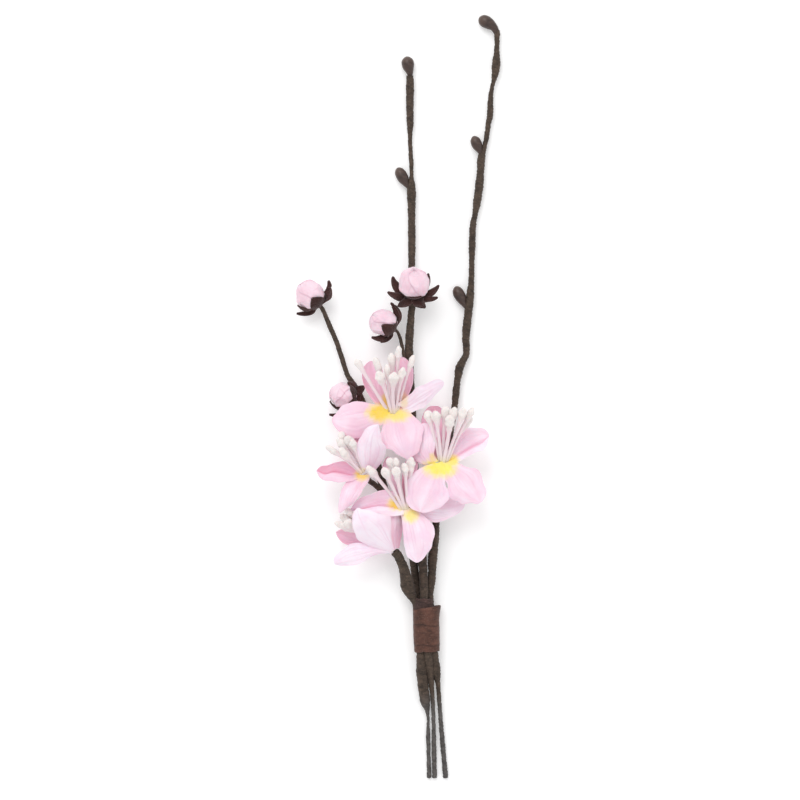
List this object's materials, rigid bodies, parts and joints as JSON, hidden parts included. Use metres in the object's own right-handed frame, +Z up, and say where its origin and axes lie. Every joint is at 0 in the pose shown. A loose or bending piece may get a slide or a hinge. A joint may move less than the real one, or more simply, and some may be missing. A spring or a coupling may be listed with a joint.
{
  "type": "paper cherry blossom sprig",
  "caption": "Cut sprig of paper cherry blossom with pink petals, yellow centres, pip stamens and closed buds on tape-wrapped wire twigs, bound above its wire tails.",
  "frame": {"origin": "middle of the sprig's outline seen from above, at the height of the surface it lies on", "axes": "+Y from the cut wire tails to the twig tips, +X across the sprig to the right when seen from above, +Z up out of the surface"},
  "size_m": [0.0688, 0.2548, 0.022],
  "materials": {
    "petal": "matte tissue paper, pink, yellow at the foot",
    "stamen": "matte off-white stiffened thread with pip heads",
    "bud": "matte folded pink tissue",
    "calyx": "matte dark brown felt-like paper",
    "leaf_bud": "brown waxed paper, slight sheen",
    "stem_tape": "brown crepe floral tape wound in a spiral",
    "binding_tape": "reddish brown crepe tape in layers"
  },
  "bodies": {
    "root": {"left_twig": "stem_tape", "right_twig": "stem_tape", "bud_branch": "stem_tape", "upper_bud_stem": "stem_tape", "lower_bud_stem": "stem_tape", "top_flower_stem": "stem_tape", "top_flower_petal_front": "petal", "top_flower_petal_left": "petal", "top_flower_petal_right": "petal", "top_flower_petal_back_left": "petal", "top_flower_petal_back_right": "petal", "top_flower_stamens": "stamen", "right_flower_stem": "stem_tape", "right_flower_petal_front_left": "petal", "right_flower_petal_front_right": "petal", "right_flower_petal_left": "petal", "right_flower_petal_back": "petal", "right_flower_petal_right": "petal", "right_flower_stamens": "stamen", "left_flower_stem": "stem_tape", "left_flower_petal_upper_right": "petal", "left_flower_petal_lower": "petal", "left_flower_petal_left": "petal", "left_flower_petal_back_left": "petal", "left_flower_petal_back_right": "petal", "left_flower_stamens": "stamen", "middle_flower_stem": "stem_tape", "middle_flower_petal_front": "petal", "middle_flower_petal_right": "petal", "middle_flower_petal_left": "petal", "middle_flower_petal_back_left": "petal", "middle_flower_petal_back_right": "petal", "middle_flower_stamens": "stamen", "low_flower_stem": "stem_tape", "low_flower_petal_upper": "petal", "low_flower_petal_lower": "petal", "low_flower_petal_back": "petal", "low_flower_petal_top": "petal", "low_flower_petal_under": "petal", "low_flower_stamens": "stamen", "far_left_bud": "bud", "far_left_bud_calyx": "calyx", "near_left_bud": "bud", "near_left_bud_calyx": "calyx", "upper_bud": "bud", "upper_bud_calyx": "calyx", "lower_bud": "bud", "lower_bud_calyx": "calyx", "left_twig_tip_bud": "leaf_bud", "right_twig_tip_bud": "leaf_bud", "left_twig_side_bud": "leaf_bud", "right_twig_upper_side_bud": "leaf_bud", "right_twig_lower_side_bud": "leaf_bud", "binding_tape": "binding_tape"}
  },
  "joints": []
}
